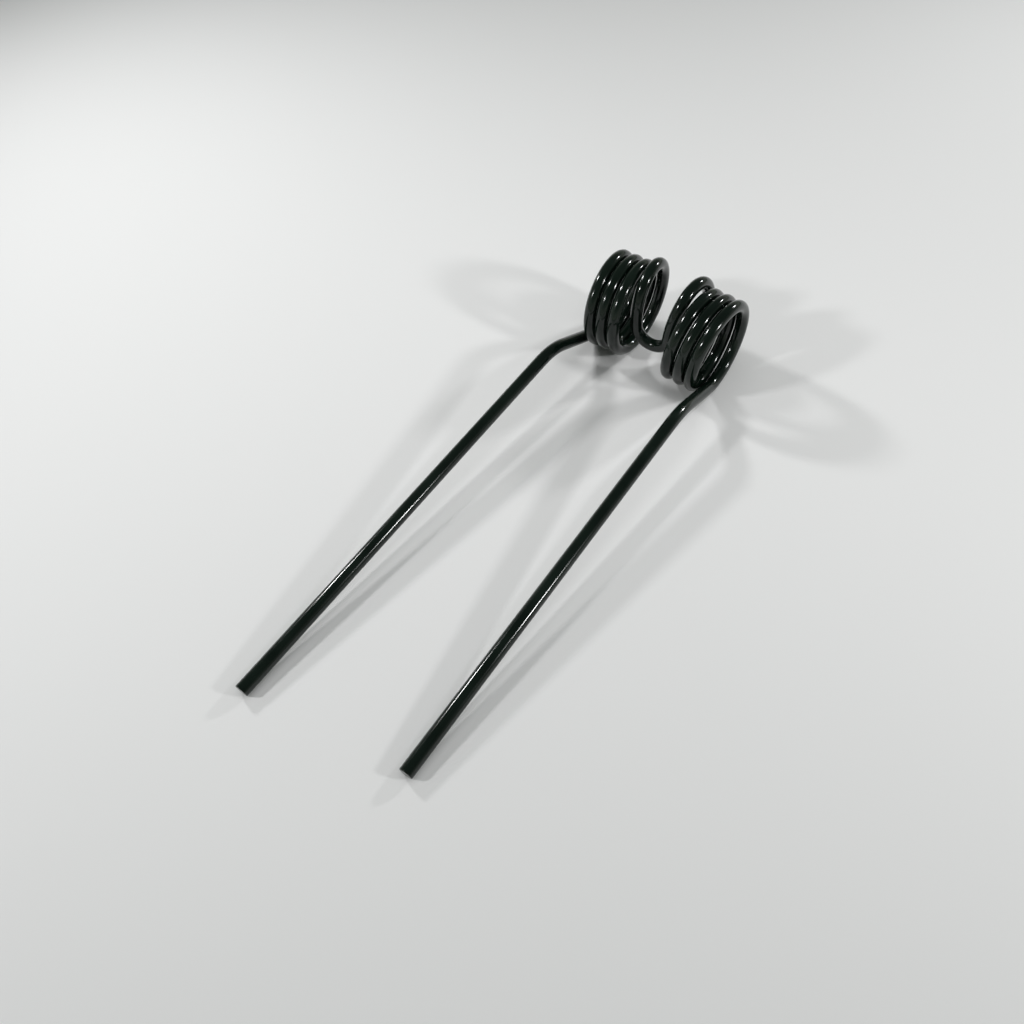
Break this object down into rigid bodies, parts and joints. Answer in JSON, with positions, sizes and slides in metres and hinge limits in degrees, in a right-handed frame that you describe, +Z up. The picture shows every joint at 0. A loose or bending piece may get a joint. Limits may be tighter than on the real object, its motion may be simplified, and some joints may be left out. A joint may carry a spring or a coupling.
{
  "type": "rotary rake tine",
  "caption": "Spring tine for a rotary hay rake: opposite-hand wire coils joined by a round bridge, each running out through an elbow into a long straight tine.",
  "frame": {"origin": "on the common axis of the two coils, midway between them", "axes": "+X along the coils' axis towards the shorter tine, -Y towards the tips of the tines, +Z up with the part lying at rest on its coils and tine ends"},
  "size_m": [0.1223, 0.4354, 0.0797],
  "materials": {
    "gloss_black_enamel": "gloss"
  },
  "bodies": {
    "root": {"double_coil_tine": "gloss_black_enamel"}
  },
  "joints": []
}
